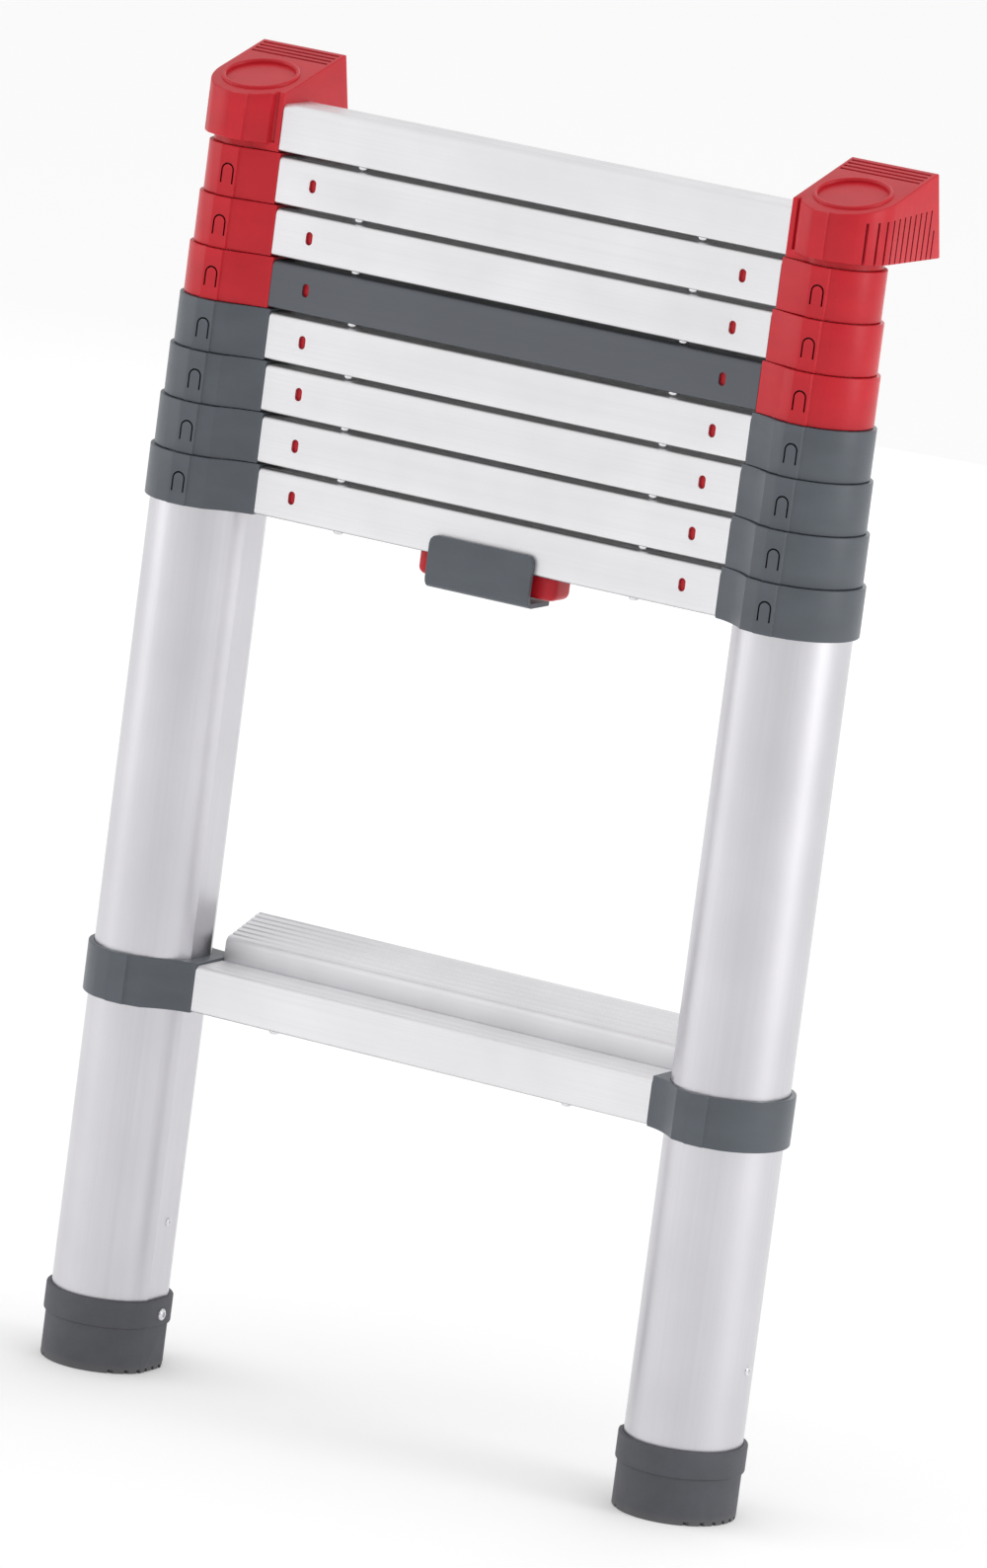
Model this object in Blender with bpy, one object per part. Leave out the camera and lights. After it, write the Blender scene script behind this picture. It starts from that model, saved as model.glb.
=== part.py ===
"""Telescoping ladder, closed: nine rungs on eight sections that slide into each other.

The frame: +X runs along the rungs, +Y points to the wall side, +Z runs up the stiles.
The origin is on the ground, under the middle of the ladder's width and depth. The sizes
below are measured from the stile axes, and build() then moves everything by half the depth.
Sections are numbered after the rung they carry: 1 is the top one, 8 the outermost one,
which stands on the feet and also holds rung 9 halfway up.
"""
import math

import bmesh
import bpy
from mathutils import Vector

# ---- stiles -------------------------------------------------------------------------
SECTIONS = 8
STILE_X = 0.1924            # stile axis, from the middle of the ladder
TUBE_HALF_WIDTH = 0.0340    # section 8 tube, axis to its round outer side
TUBE_HALF_DEPTH = 0.0355    # section 8 tube, axis to its front and back
FLAT_CUT = 0.0017           # how much of the round the flat inner side takes away
TUBE_FLAT = TUBE_HALF_WIDTH - FLAT_CUT
TUBE_WALL = 0.0014
TUBE_GAP = 0.0006           # between one tube and the next one inside it
NEST_STEP = TUBE_WALL + TUBE_GAP
FIT = 0.0003                # between two pieces that touch

# ---- rungs --------------------------------------------------------------------------
RUNG_HEIGHT = 0.0273
RUNG_DEPTH = 0.0310
RUNG_FRONT = -0.0185        # front face of every rung
RUNG_BACK = RUNG_FRONT + RUNG_DEPTH
RUNG_WALL = 0.0016
RUNG_EDGE = 0.0035          # rounding of the front top edge
RUNG_CORNER = 0.0018        # rounding of the other edges
STEP_TOP = 0.2473           # top of rung 9 above the ground
RUNG_GAP = 0.0026           # between two stacked rungs
OPEN_PITCH = 0.2950         # from rung to rung, opened
CLOSED_PITCH = RUNG_HEIGHT + RUNG_GAP
TRAVEL = OPEN_PITCH - CLOSED_PITCH

# ---- lock bolts ---------------------------------------------------------------------
BOLTED_RUNGS = range(3, 9)
PIN_RADIUS = 0.0035
PIN_CLEARANCE = 0.0004
BOLT_SHOULDER = 0.0050      # from the end of the rung to the bolt's shoulder
BOLT_LENGTH = 0.0260
BOLT_TOP_GAP = 0.0040       # between the bolt and the rung's top and bottom walls
BOLT_HALF_HEIGHT = RUNG_HEIGHT / 2 - RUNG_WALL - BOLT_TOP_GAP
BOLT_FRONT_GAP = 0.0006     # between the bolt and the rung's front wall
BOLT_FRONT = RUNG_FRONT + RUNG_WALL + BOLT_FRONT_GAP
BOLT_BACK_GAP = 0.0049      # between the bolt and the rung's back wall
BOLT_BACK = RUNG_BACK - RUNG_WALL - BOLT_BACK_GAP
TAIL_BELOW_HOLE = 0.0450    # from a tube's lock hole to its lower end

# ---- collars ------------------------------------------------------------------------
COLLAR_WALL = 0.0031
COLLAR_GAP = 0.0004         # between two stacked collars
COLLAR_HEIGHT = CLOSED_PITCH - COLLAR_GAP
COLLAR_ABOVE_RUNG = 0.0015
GUIDE_BELOW_PIN = 0.0024    # how far a collar's guide goes on below the bolt's pin
GUIDE_HEIGHT = COLLAR_ABOVE_RUNG + RUNG_HEIGHT / 2 + PIN_RADIUS + GUIDE_BELOW_PIN
EAR_LENGTH = 0.0047         # from a collar's flat side to the end of its rung
EAR_BLEND = 0.5             # share of the way to the round where the ear's hollow front bends
EAR_BLEND_FRONT = 0.0031    # how far that bend is in front of the rungs
EAR_ARC_START = math.radians(-115)   # where the front of the ear meets the round
EAR_ARC_END = math.radians(150)      # where the back of the ear meets the round
MID_EAR_ARC_END = math.radians(130)
MID_EAR_REACH = 0.0155      # how far the ear goes on behind the rung

# ---- windows ------------------------------------------------------------------------
WINDOW_FROM_END = 0.0233
WINDOW_WIDTH = 0.0044
WINDOW_HEIGHT = 0.0078

# ---- end caps -----------------------------------------------------------------------
CAP_WALL = 0.0089
CAP_SIDE_WALL = 0.0084
CAP_BOTTOM = 0.0032         # above the bottom of rung 1
CAP_FRONT_TOP = 0.0115      # top of the cap at the stile axis, above the top of rung 1
CAP_REAR = 0.0469           # upper edge of the wall face
USE_ANGLE = math.radians(16.4)   # how far the ladder leans in use
NECK_WALL = 0.0030
CAP_ROOF = 0.0080

# ---- feet ---------------------------------------------------------------------------
FOOT_WALL = 0.0015
FOOT_RIM = 0.0030
FOOT_STEP = 0.0275
FOOT_TOP = 0.0435
FOOT_FLOOR = 0.0120
FOOT_CHAMFER = 0.0020
HEEL_START = 0.0105         # the sole rises behind this line
HEEL_ANGLE = math.radians(20.0)
GROOVES = 5
GROOVE_FIRST = -0.0280
GROOVE_PITCH = 0.0075
GROOVE_WIDTH = 0.0025
GROOVE_DEPTH = 0.0018

# ---- rear tread ---------------------------------------------------------------------
TREAD_DEPTH = 0.0420
TREAD_RISE = 0.0148         # front top edge of the tread above rung 9
TREAD_BELOW = 0.0120        # underside of the tread below the top of rung 9
TREAD_SLOPE = math.radians(15.0)
TREAD_WALL = 0.0020
TREAD_EDGE = 0.0045

# ---- release ------------------------------------------------------------------------
RELEASE_HALF = 0.0455
RELEASE_FRONT = -0.0130
RELEASE_BACK = 0.0100
RELEASE_HEIGHT = 0.0139
RELEASE_ROUND = 0.0050
RELEASE_TRAVEL = 0.0050
TONGUE_HALF = 0.0080
TONGUE_DEPTH = 0.0040
TONGUE_RISE = 0.0080
TONGUE_CLEARANCE = 0.0005
GUARD_HALF = 0.0340
GUARD_THICKNESS = 0.0030
GUARD_OVERLAP = 0.0115      # how far the guard covers the front of rung 8
GUARD_CLEARANCE = 0.0023    # between the release and the guard's fold
GUARD_DROP = FIT + RELEASE_HEIGHT + GUARD_CLEARANCE + GUARD_THICKNESS
GUARD_REACH = 0.0050        # back edge of the guard's fold
GUARD_BEND = 0.0060
GUARD_CORNER = 0.0050

# ---- resolution ---------------------------------------------------------------------
ARC_STEPS = 16
EAR_POINTS = 5              # points that an ear adds to a collar's outline
PIN_SIDES = 12
CORNER_STEPS = 3

# ---- materials: colour, roughness, metallic ------------------------------------------
MATERIALS = {
    "satin_aluminium": ((0.72, 0.72, 0.74), 0.38, 1.0),
    "anthracite_aluminium": ((0.13, 0.14, 0.15), 0.45, 0.6),
    "red_plastic": ((0.60, 0.035, 0.045), 0.42, 0.0),
    "grey_plastic": ((0.085, 0.092, 0.100), 0.48, 0.0),
    "grey_rubber": ((0.075, 0.078, 0.085), 0.70, 0.0),
}


def clear_scene():
    for item in list(bpy.data.objects):
        bpy.data.objects.remove(item, do_unlink=True)


def material(name):
    """Return the named material, made on first use."""
    found = bpy.data.materials.get(name)
    if found:
        return found
    colour, roughness, metallic = MATERIALS[name]
    made = bpy.data.materials.new(name)
    made.use_nodes = True
    shader = made.node_tree.nodes["Principled BSDF"]
    shader.inputs["Base Color"].default_value = (*colour, 1.0)
    shader.inputs["Roughness"].default_value = roughness
    shader.inputs["Metallic"].default_value = metallic
    return made


# ---- heights that several pieces share -------------------------------------------------
def rung_top(number):
    """Height of the top of a rung, closed."""
    if number == SECTIONS + 1:
        return STEP_TOP
    return STEP_TOP + OPEN_PITCH + (SECTIONS - number) * CLOSED_PITCH


def rung_bottom(number):
    return rung_top(number) - RUNG_HEIGHT


def rung_middle(number):
    return rung_top(number) - RUNG_HEIGHT / 2


def collar_top(number):
    return rung_top(number) + COLLAR_ABOVE_RUNG


def inset_of(number):
    """How much smaller the tube of a section is than the tube of section 8."""
    return (SECTIONS - number) * NEST_STEP


def ear_end(number):
    """Distance from the middle of the ladder to the face where a collar's ear meets its rung."""
    size = min(number, SECTIONS)
    return STILE_X - (TUBE_FLAT + FIT + COLLAR_WALL - inset_of(size)) - EAR_LENGTH


def cap_side():
    """Distance from the middle of the ladder to the inner side of an end cap."""
    return STILE_X - (TUBE_FLAT - inset_of(1)) - CAP_SIDE_WALL


def rung_half(number):
    """Half of a rung's length."""
    if number == 1:
        return cap_side() - FIT
    return ear_end(number) - FIT


# ---- outlines in the X-Y plane, for the right stile -------------------------------------
def stile_arc(grow, start, end, steps):
    """Points on the stile's round outline, grown by a distance, between two angles."""
    points = []
    for step in range(steps + 1):
        angle = start + (end - start) * step / steps
        x = STILE_X + (TUBE_HALF_WIDTH + grow) * math.cos(angle)
        y = (TUBE_HALF_DEPTH + grow) * math.sin(angle)
        points.append((x, y))
    return points


def tube_outline(grow):
    """The stile's outline: the round side from front to back, closed by the flat inner side."""
    corner = math.acos(-(TUBE_FLAT + grow) / (TUBE_HALF_WIDTH + grow))
    return stile_arc(grow, -corner, corner, ARC_STEPS)


def bore_outline(grow, extra):
    """The stile's outline with extra points along the flat side, to pair with an eared outline."""
    points = tube_outline(grow)
    back, front = Vector(points[-1]), Vector(points[0])
    for step in range(1, extra + 1):
        points.append(tuple(back.lerp(front, step / (extra + 1))))
    return points


def eared_outline(grow, ear_x, ear_back, arc_end):
    """A collar's outline: round outside, with an ear that reaches inwards to the rung."""
    points = stile_arc(grow, EAR_ARC_START, arc_end, ARC_STEPS)
    flat_x = STILE_X - TUBE_FLAT - grow
    start = Vector(points[0])
    corner = Vector((ear_x, RUNG_FRONT))
    bend = Vector((ear_x + EAR_BLEND * (start.x - ear_x), RUNG_FRONT - EAR_BLEND_FRONT))
    points.append((flat_x, ear_back))
    points.append((ear_x, ear_back))
    for step in range(EAR_POINTS - 2):
        share = step / (EAR_POINTS - 2)
        points.append(tuple(corner.lerp(bend, share).lerp(bend.lerp(start, share), share)))
    return points


# ---- solids ------------------------------------------------------------------------------
def ring(outline, z, side=1):
    return [Vector((side * x, y, z)) for x, y in outline]


def skin(name, rings, origin, finish, closed=False, smooth_angle=35):
    """A solid skinned over rings of equal length; closed joins the last ring to the first."""
    origin = Vector(origin)
    mesh_data = bmesh.new()
    loops = [[mesh_data.verts.new(point - origin) for point in points] for points in rings]
    count = len(loops[0])
    pairs = list(zip(loops, loops[1:]))
    if closed:
        pairs.append((loops[-1], loops[0]))
    for lower, upper in pairs:
        for here in range(count):
            there = (here + 1) % count
            mesh_data.faces.new((lower[here], lower[there], upper[there], upper[here]))
    if not closed:
        mesh_data.faces.new(loops[0])
        mesh_data.faces.new(loops[-1])
    bmesh.ops.recalc_face_normals(mesh_data, faces=mesh_data.faces)
    mesh = bpy.data.meshes.new(name)
    mesh_data.to_mesh(mesh)
    mesh_data.free()
    piece = bpy.data.objects.new(name, mesh)
    bpy.context.scene.collection.objects.link(piece)
    piece.location = origin
    mesh.materials.append(material(finish))
    mesh.shade_smooth()
    mesh.set_sharp_from_angle(angle=math.radians(smooth_angle))
    return piece


def cut(piece, cutter):
    """Cut one solid out of another, and keep the cutter out of the renders."""
    cutter.hide_render = True
    cutter.display_type = "WIRE"
    step = piece.modifiers.new(cutter.name, "BOOLEAN")
    step.operation = "DIFFERENCE"
    step.solver = "EXACT"
    step.object = cutter


def box_rings(x, y, z):
    """Two rings that make a box between the given limits."""
    outline = ((x[0], y[0]), (x[1], y[0]), (x[1], y[1]), (x[0], y[1]))
    return [ring(outline, z[0]), ring(outline, z[1])]


def pin_rings(x_start, x_end, radius, y, z, side):
    """Two rings that make a round pin along X."""
    rings = []
    for x in (x_start, x_end):
        points = []
        for index in range(PIN_SIDES):
            angle = math.tau * (index + 0.5) / PIN_SIDES
            points.append(Vector((side * x, y + radius * math.cos(angle), z + radius * math.sin(angle))))
        rings.append(points)
    return rings


def rounded(corners, radii):
    """Round the corners of a convex outline, each by its own radius."""
    points = []
    count = len(corners)
    for index, radius in enumerate(radii):
        here = Vector(corners[index])
        before = (Vector(corners[index - 1]) - here).normalized()
        after = (Vector(corners[(index + 1) % count]) - here).normalized()
        half = before.angle(after) / 2
        centre = here + (before + after).normalized() * (radius / math.sin(half))
        first = here + before * (radius / math.tan(half)) - centre
        last = here + after * (radius / math.tan(half)) - centre
        turn = math.atan2(first.x * last.y - first.y * last.x, first.dot(last))
        for step in range(CORNER_STEPS + 1):
            angle = turn * step / CORNER_STEPS
            along = Vector((-first.y, first.x)) * math.sin(angle)
            points.append(tuple(centre + first * math.cos(angle) + along))
    return points


def inset(corners, distance):
    """Move every side of a convex outline, given counter-clockwise, inwards by a distance."""
    moved = []
    count = len(corners)
    for index in range(count):
        here = Vector(corners[index])
        before = (here - Vector(corners[index - 1])).normalized()
        after = (Vector(corners[(index + 1) % count]) - here).normalized()
        inward = Vector((-before.y, before.x)) + Vector((-after.y, after.x))
        moved.append(tuple(here + inward * (distance / (1 + before.dot(after)))))
    return moved


def extrusion(name, corners, radii, wall, half, origin, finish):
    """A hollow profile along X, open at both ends; corners are (y, z), counter-clockwise."""
    outer = rounded(corners, radii)
    inner = rounded(inset(corners, wall), [max(radius - wall, 0.0006) for radius in radii])
    rings = []
    for outline, x in ((outer, -half), (outer, half), (inner, half), (inner, -half)):
        rings.append([Vector((x, y, z)) for y, z in outline])
    return skin(name, rings, origin, finish, closed=True)


# ---- pieces --------------------------------------------------------------------------------
def side_name(side):
    return "right" if side > 0 else "left"


def tube_top(number):
    """Top end of a tube: in its collar, below the guide, or in the end cap."""
    if number == 1:
        return cap_height(0.0) - CAP_ROOF - FIT
    return collar_top(number) - GUIDE_HEIGHT - FIT


def lock_hole_height(number):
    """Height, closed, of the hole that the next collar's bolt enters when a section is out."""
    return rung_middle(number + 1) - TRAVEL


def make_tube(number, side):
    """One stile tube, with a lock hole in its flat side if it slides."""
    bottom = FOOT_FLOOR + FIT
    if number < SECTIONS:
        bottom = lock_hole_height(number) - TAIL_BELOW_HOLE
    outside = tube_outline(-inset_of(number))
    inside = tube_outline(-inset_of(number) - TUBE_WALL)
    top = tube_top(number)
    rings = [
        ring(outside, bottom, side),
        ring(outside, top, side),
        ring(inside, top, side),
        ring(inside, bottom, side),
    ]
    name = f"stile_tube_{number}_{side_name(side)}"
    tube = skin(name, rings, (side * STILE_X, 0, bottom), "satin_aluminium", closed=True, smooth_angle=22)
    if number < SECTIONS:
        flat = STILE_X - TUBE_FLAT + inset_of(number)
        height = lock_hole_height(number)
        hole = pin_rings(flat - 0.004, flat + 0.006, PIN_RADIUS + PIN_CLEARANCE, 0, height, side)
        cut(tube, skin(f"cut_{name}", hole, (side * flat, 0, height), "satin_aluminium"))
    return tube


def make_collar(number, side):
    """The collar on top of a tube: it grips the tube, guides the next one and carries the rung."""
    grow = -inset_of(number)
    top = collar_top(number)
    bottom = top - COLLAR_HEIGHT
    step = top - GUIDE_HEIGHT
    outside = eared_outline(grow + FIT + COLLAR_WALL, ear_end(number), RUNG_BACK, EAR_ARC_END)
    grip = bore_outline(grow + FIT, EAR_POINTS)
    guide = bore_outline(grow - NEST_STEP + FIT, EAR_POINTS)
    rings = [
        ring(outside, bottom, side),
        ring(outside, top, side),
        ring(guide, top, side),
        ring(guide, step, side),
        ring(grip, step, side),
        ring(grip, bottom, side),
    ]
    name = f"collar_{number}_{side_name(side)}"
    finish = "red_plastic" if number <= 4 else "grey_plastic"
    collar = skin(name, rings, (side * STILE_X, 0, bottom), finish, closed=True)
    start = ear_end(number) - 0.003
    end = STILE_X - TUBE_FLAT + inset_of(number) + 0.006
    middle = rung_middle(number)
    hole = pin_rings(start, end, PIN_RADIUS + PIN_CLEARANCE, 0, middle, side)
    cut(collar, skin(f"cut_{name}", hole, (side * start, 0, middle), finish))
    return collar


def make_mid_collar(side):
    """The collar around the section 8 tube that carries rung 9 and the rear tread."""
    top = collar_top(SECTIONS + 1)
    bottom = top - COLLAR_HEIGHT
    ear_back = RUNG_BACK + MID_EAR_REACH
    outside = eared_outline(FIT + COLLAR_WALL, ear_end(SECTIONS), ear_back, MID_EAR_ARC_END)
    bore = bore_outline(FIT, EAR_POINTS)
    rings = [
        ring(outside, bottom, side),
        ring(outside, top, side),
        ring(bore, top, side),
        ring(bore, bottom, side),
    ]
    name = f"mid_collar_{side_name(side)}"
    return skin(name, rings, (side * STILE_X, 0, bottom), "grey_plastic", closed=True)


def rung_corners(number):
    """A rung's outline, counter-clockwise in (y, z)."""
    low, high = rung_bottom(number), rung_top(number)
    return ((RUNG_FRONT, low), (RUNG_BACK, low), (RUNG_BACK, high), (RUNG_FRONT, high))


def make_rung(number):
    """A hollow rung, with a window near each end if it has lock bolts."""
    finish = "anthracite_aluminium" if number == 4 else "satin_aluminium"
    radii = (RUNG_CORNER, RUNG_CORNER, RUNG_CORNER, RUNG_EDGE)
    middle = (0, 0, rung_middle(number))
    half = rung_half(number)
    rung = extrusion(f"rung_{number}", rung_corners(number), radii, RUNG_WALL, half, middle, finish)
    if 1 < number <= SECTIONS:
        for side in (-1, 1):
            cut(rung, window_cutter(number, side))
    if number == SECTIONS:
        cut(rung, tongue_slot_cutter())
    return rung


def window_cutter(number, side):
    """An upright slot through a rung's front wall."""
    centre_x = side * (rung_half(number) - WINDOW_FROM_END)
    centre_z = rung_middle(number)
    radius = WINDOW_WIDTH / 2
    straight = WINDOW_HEIGHT / 2 - radius
    rings = []
    for y in (RUNG_FRONT - 0.002, RUNG_FRONT + RUNG_WALL + 0.002):
        points = []
        for end, first in ((1, 0.0), (-1, math.pi)):
            for step in range(5):
                angle = first + math.pi * step / 4
                x = centre_x + radius * math.cos(angle)
                z = centre_z + end * straight + radius * math.sin(angle)
                points.append(Vector((x, y, z)))
        rings.append(points)
    name = f"cut_window_{number}_{side_name(side)}"
    return skin(name, rings, (centre_x, RUNG_FRONT, centre_z), "satin_aluminium")


def tongue_slot_cutter():
    """The slot in the underside of rung 8 that the release's tongue moves in."""
    centre = (RELEASE_FRONT + RELEASE_BACK) / 2
    half = TONGUE_HALF + TONGUE_CLEARANCE
    front = centre - TONGUE_DEPTH / 2 - TONGUE_CLEARANCE
    back = centre + TONGUE_DEPTH / 2 + RELEASE_TRAVEL + TONGUE_CLEARANCE
    low = rung_bottom(SECTIONS)
    rings = box_rings((-half, half), (front, back), (low - 0.002, low + RUNG_WALL + 0.002))
    return skin("cut_tongue_slot", rings, (0, centre, low), "satin_aluminium")


def make_lock_bolt(number, side):
    """A sprung bolt in the end of a rung: a block with a pin that passes through the collar."""
    shoulder = rung_half(number) - BOLT_SHOULDER
    tip = STILE_X - TUBE_FLAT + inset_of(number - 1) - FIT
    middle = rung_middle(number)
    low, high = middle - BOLT_HALF_HEIGHT, middle + BOLT_HALF_HEIGHT
    pin = pin_rings(shoulder, tip, PIN_RADIUS, 0, middle, side)
    corners = ((BOLT_BACK, high), (BOLT_FRONT, high), (BOLT_FRONT, low), (BOLT_BACK, low))
    block = []
    for index, corner in enumerate(corners):
        start = Vector(corner)
        end = Vector(corners[(index + 1) % 4])
        block.extend(start.lerp(end, step / 3) for step in range(3))
    rings = [[Vector((side * x, y, z)) for y, z in block] for x in (shoulder - BOLT_LENGTH, shoulder)]
    return skin(f"lock_bolt_{number}_{side_name(side)}", rings + pin, (side * tip, 0, middle), "red_plastic")


def cap_height(y):
    """Height of an end cap's sloping top."""
    return rung_top(1) + CAP_FRONT_TOP + y * math.tan(USE_ANGLE)


def cap_rear(z):
    """How far back an end cap's wall face is at a height; the face is upright when in use."""
    return CAP_REAR + (cap_height(CAP_REAR) - z) * math.tan(USE_ANGLE)


def cap_bottom():
    return rung_bottom(1) + CAP_BOTTOM


def depth_middle():
    """How far the middle of the ladder's whole depth is behind the stile axes."""
    front = -(TUBE_HALF_DEPTH + FIT + COLLAR_WALL)
    return (front + cap_rear(cap_bottom())) / 2


def cap_outline(rear):
    """An end cap's outline: round front, straight sides, straight back."""
    grow = CAP_WALL - inset_of(1)
    start = -math.acos((cap_side() - STILE_X) / (TUBE_HALF_WIDTH + grow))
    points = stile_arc(grow, start, 0.0, ARC_STEPS - 2)
    outer = STILE_X + TUBE_HALF_WIDTH + grow
    points.append((outer, rear))
    points.append((cap_side(), rear))
    return points


def make_end_cap(side):
    """The cap on the top section: it closes the tube, carries rung 1 and rests on the wall."""
    bottom = cap_bottom()
    neck = collar_top(2) + COLLAR_GAP
    roof = cap_height(0.0) - CAP_ROOF
    top_ring = []
    for x, y in cap_outline(CAP_REAR):
        top_ring.append(Vector((side * x, y, cap_height(y))))
    bore = tube_outline(-inset_of(1) + FIT)
    collar = tube_outline(-inset_of(1) + NECK_WALL)
    rings = [
        top_ring,
        ring(cap_outline(cap_rear(bottom)), bottom, side),
        ring(collar, bottom, side),
        ring(collar, neck, side),
        ring(bore, neck, side),
        ring(bore, roof, side),
    ]
    return skin(f"end_cap_{side_name(side)}", rings, (side * STILE_X, 0, neck), "red_plastic")


def make_foot(side):
    """A rubber boot on the section 8 tube, with a rim band, a raised heel and a grooved sole."""
    body = tube_outline(FOOT_WALL)
    rim = tube_outline(FOOT_RIM)
    pocket = tube_outline(FIT)
    rings = [
        ring(tube_outline(FOOT_WALL - FOOT_CHAMFER), 0.0, side),
        ring(body, FOOT_CHAMFER, side),
        ring(body, FOOT_STEP, side),
        ring(rim, FOOT_STEP, side),
        ring(rim, FOOT_TOP, side),
        ring(pocket, FOOT_TOP, side),
        ring(pocket, FOOT_FLOOR, side),
    ]
    foot = skin(f"foot_{side_name(side)}", rings, (side * STILE_X, 0, 0), "grey_rubber")
    reach = TUBE_HALF_WIDTH + 0.010
    cut(foot, heel_cutter(side, reach))
    for index in range(GROOVES):
        centre = GROOVE_FIRST + index * GROOVE_PITCH
        x = (side * STILE_X - reach, side * STILE_X + reach)
        y = (centre - GROOVE_WIDTH / 2, centre + GROOVE_WIDTH / 2)
        groove = box_rings(x, y, (-0.002, GROOVE_DEPTH))
        name = f"cut_groove_{index}_{side_name(side)}"
        cut(foot, skin(name, groove, (side * STILE_X, centre, 0), "grey_rubber"))
    return foot


def heel_cutter(side, reach):
    """A wedge that lifts the back of the sole."""
    back = TUBE_HALF_DEPTH + 0.010
    rise = (back - HEEL_START) * math.tan(HEEL_ANGLE)
    rings = []
    for x in (side * STILE_X - reach, side * STILE_X + reach):
        rings.append([Vector((x, HEEL_START, 0)), Vector((x, back, rise)), Vector((x, back, -0.010)),
                      Vector((x, HEEL_START, -0.010))])
    return skin(f"cut_heel_{side_name(side)}", rings, (side * STILE_X, HEEL_START, 0), "grey_rubber")


def make_rear_tread():
    """The second step profile behind rung 9, sloped so that it is level when the ladder leans."""
    front = RUNG_BACK + FIT
    back = front + TREAD_DEPTH
    low = STEP_TOP - TREAD_BELOW
    high = STEP_TOP + TREAD_RISE
    corners = ((front, low), (back, low), (back, high + TREAD_DEPTH * math.tan(TREAD_SLOPE)), (front, high))
    radii = (RUNG_CORNER, TREAD_EDGE, TREAD_EDGE, TREAD_EDGE)
    half = rung_half(SECTIONS + 1)
    return extrusion("rear_tread", corners, radii, TREAD_WALL, half, (0, front, high), "satin_aluminium")


def make_release_block():
    """The red release under rung 8, with a tongue that reaches into the rung."""
    high = rung_bottom(SECTIONS) - FIT
    low = high - RELEASE_HEIGHT
    rings = []
    for share in (0.0, 0.35, 1.0):
        angle = share * math.pi / 2
        half = RELEASE_HALF - RELEASE_ROUND * (1 - math.sin(angle))
        z = low + RELEASE_ROUND * (1 - math.cos(angle))
        rings.append(box_rings((-half, half), (RELEASE_FRONT, RELEASE_BACK), (z, z))[0])
    sides = (-RELEASE_HALF, RELEASE_HALF)
    rings.append(box_rings(sides, (RELEASE_FRONT, RELEASE_BACK), (high, high))[0])
    centre = (RELEASE_FRONT + RELEASE_BACK) / 2
    tongue = (centre - TONGUE_DEPTH / 2, centre + TONGUE_DEPTH / 2)
    rings.extend(box_rings((-TONGUE_HALF, TONGUE_HALF), tongue, (high, high + TONGUE_RISE)))
    return skin("release_block", rings, (0, centre, high), "red_plastic")


def make_release_guard():
    """The J-shaped plate in front of and under the release."""
    back = RUNG_FRONT - FIT
    front = back - GUARD_THICKNESS
    high = rung_bottom(SECTIONS) + GUARD_OVERLAP
    low = rung_bottom(SECTIONS) - GUARD_DROP
    rings = []
    for drop, narrow in ((0.0, 1.0), (0.13, 0.5), (0.5, 0.13), (1.0, 0.0)):
        half = GUARD_HALF - GUARD_CORNER * narrow
        z = high - GUARD_CORNER * drop
        rings.append(guard_ring(half, (front, z), (back, z)))
    centre = Vector((front + GUARD_BEND, low + GUARD_BEND))
    for step in range(5):
        angle = math.pi + math.pi / 2 * step / 4
        spoke = Vector((math.cos(angle), math.sin(angle)))
        rings.append(guard_ring(GUARD_HALF, centre + spoke * GUARD_BEND,
                                centre + spoke * (GUARD_BEND - GUARD_THICKNESS)))
    rings.append(guard_ring(GUARD_HALF, (GUARD_REACH, low), (GUARD_REACH, low + GUARD_THICKNESS)))
    return skin("release_guard", rings, (0, front, low), "grey_plastic")


def guard_ring(half, outer, inner):
    """One cross-section of the guard, from its outer to its inner surface (y, z)."""
    return [Vector((-half, *outer)), Vector((half, *outer)), Vector((half, *inner)), Vector((-half, *inner))]


# ---- assembly ----------------------------------------------------------------------------
def gather(name, place, pieces):
    """Parent pieces to an empty in the middle of their section, without moving them."""
    group = bpy.data.objects.new(name, None)
    bpy.context.scene.collection.objects.link(group)
    group.location = place
    group.empty_display_size = 0.02
    for piece in pieces:
        piece.parent = group
        piece.location = piece.location - group.location


def build():
    clear_scene()
    for number in range(1, SECTIONS + 1):
        pieces = [make_rung(number)]
        for side in (-1, 1):
            pieces.append(make_tube(number, side))
            if number > 1:
                pieces.append(make_collar(number, side))
            else:
                pieces.append(make_end_cap(side))
            if number == SECTIONS:
                pieces.append(make_mid_collar(side))
                pieces.append(make_foot(side))
            if number in BOLTED_RUNGS:
                make_lock_bolt(number, side)
        if number == SECTIONS:
            pieces.append(make_rung(SECTIONS + 1))
            pieces.append(make_rear_tread())
            pieces.append(make_release_guard())
            make_release_block()
        gather(f"section_{number}", Vector((0, 0, rung_middle(number))), pieces)
    for item in bpy.context.scene.objects:
        if item.parent is None:
            item.location.y -= depth_middle()


build()
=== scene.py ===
"""Looks for the telescoping ladder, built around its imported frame.

The frame: +X runs along the rungs, +Y points to the wall side, +Z runs up the stiles.
Sections are numbered after the rung they carry: 1 is the top one, 8 the outermost one.
Stile shapes are drawn for the right side as (u, v): u is the distance outwards from the
stile axis, v the distance behind it. The left side is their mirror image.
"""
import math

import bmesh
import bpy
from mathutils import Matrix, Vector


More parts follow.
